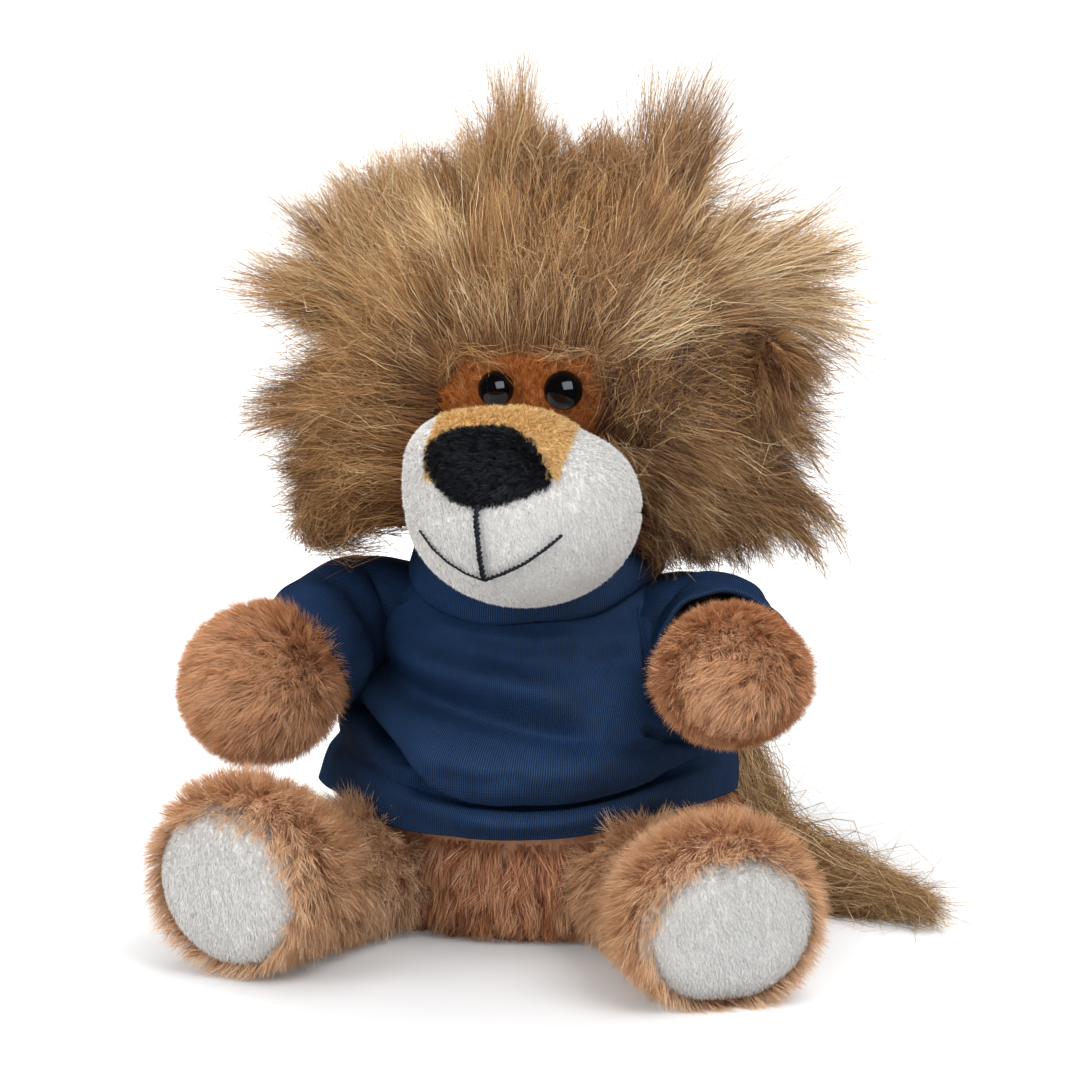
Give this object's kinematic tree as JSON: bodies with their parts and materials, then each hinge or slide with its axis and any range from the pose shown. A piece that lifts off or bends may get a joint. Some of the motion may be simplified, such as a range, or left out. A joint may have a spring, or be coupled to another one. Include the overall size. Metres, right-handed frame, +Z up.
{
  "type": "plush lion",
  "caption": "Seated plush lion with a shaggy brown mane, white snout, black nose, tan furry limbs, pale soles, a brush tail and a plain navy knitted shirt.",
  "frame": {"origin": "middle of the flat seat on which the lion sits", "axes": "+Z up, -Y the way the belly faces, +X the lion's own left side"},
  "size_m": [0.1565, 0.1388, 0.1741],
  "materials": {
    "fur_tan": "medium pile faux fur",
    "fur_brown": "long pile faux fur",
    "plush_orange": "short plush",
    "plush_ochre": "short plush",
    "minky_white": "short soft pile",
    "pile_black": "short black pile",
    "thread_black": "embroidery thread",
    "knit_navy": "jersey knit",
    "fibre_white": "polyester fibre",
    "pouch_grey": "woven pouch with pellets",
    "plastic_black": "polished",
    "plastic_clear": "moulded"
  },
  "bodies": {
    "torso": {"torso_skin": "fur_tan", "torso_stuffing": "fibre_white", "pellet_bag": "pouch_grey", "shirt_front": "knit_navy", "shirt_back": "knit_navy", "shirt_collar": "knit_navy"},
    "neck": {"neck_stuffing": "fibre_white"},
    "head": {"head_stuffing": "fibre_white", "face_panel": "plush_orange", "muzzle_skin": "minky_white", "muzzle_bridge": "plush_ochre", "nose": "pile_black", "mouth_stitching": "thread_black", "eye_left": "plastic_black", "eye_right": "plastic_black", "eye_washer_left": "plastic_clear", "eye_washer_right": "plastic_clear", "ear_left": "fur_tan", "ear_right": "fur_tan", "mane": "fur_brown"},
    "arm_left": {"arm_skin_left": "fur_tan", "arm_stuffing_left": "fibre_white", "sleeve_left": "knit_navy"},
    "arm_right": {"arm_skin_right": "fur_tan", "arm_stuffing_right": "fibre_white", "sleeve_right": "knit_navy"},
    "leg_left": {"leg_skin_left": "fur_tan", "leg_stuffing_left": "fibre_white", "sole_left": "minky_white"},
    "leg_right": {"leg_skin_right": "fur_tan", "leg_stuffing_right": "fibre_white", "sole_right": "minky_white"},
    "tail": {"tail_stem": "fur_tan", "tail_brush": "fur_brown"}
  },
  "joints": [
    {"name": "neck_turn", "type": "hinge", "parent": "torso", "child": "neck", "pos_m": [0.004, 0.001, 0.09], "axis": [0, 0, 1], "range_deg": [-20, 14], "stiffness_Nm_per_rad": 0.1},
    {"name": "head_nod", "type": "hinge", "parent": "neck", "child": "head", "pos_m": [0.004, 0.001, 0.09], "axis": [1, 0, 0], "range_deg": [-12, 4], "stiffness_Nm_per_rad": 0.25},
    {"name": "arm_left_swing", "type": "hinge", "parent": "torso", "child": "arm_left", "pos_m": [0.039, -0.006, 0.0635], "axis": [1, 0, 0], "range_deg": [-20, 10], "stiffness_Nm_per_rad": 0.08},
    {"name": "arm_right_swing", "type": "hinge", "parent": "torso", "child": "arm_right", "pos_m": [-0.039, -0.006, 0.0635], "axis": [1, 0, 0], "range_deg": [-20, 10], "stiffness_Nm_per_rad": 0.08},
    {"name": "leg_left_swing", "type": "hinge", "parent": "torso", "child": "leg_left", "pos_m": [0.03, -0.031, 0.0144], "axis": [0, 0, 1], "range_deg": [-12, 12], "stiffness_Nm_per_rad": 0.1},
    {"name": "leg_right_swing", "type": "hinge", "parent": "torso", "child": "leg_right", "pos_m": [-0.03, -0.031, 0.0144], "axis": [0, 0, 1], "range_deg": [-12, 12], "stiffness_Nm_per_rad": 0.1},
    {"name": "tail_swing", "type": "hinge", "parent": "torso", "child": "tail", "pos_m": [0.009, 0.0384, 0.02], "axis": [0, 0, 1], "range_deg": [-4, 35], "stiffness_Nm_per_rad": 0.05}
  ]
}
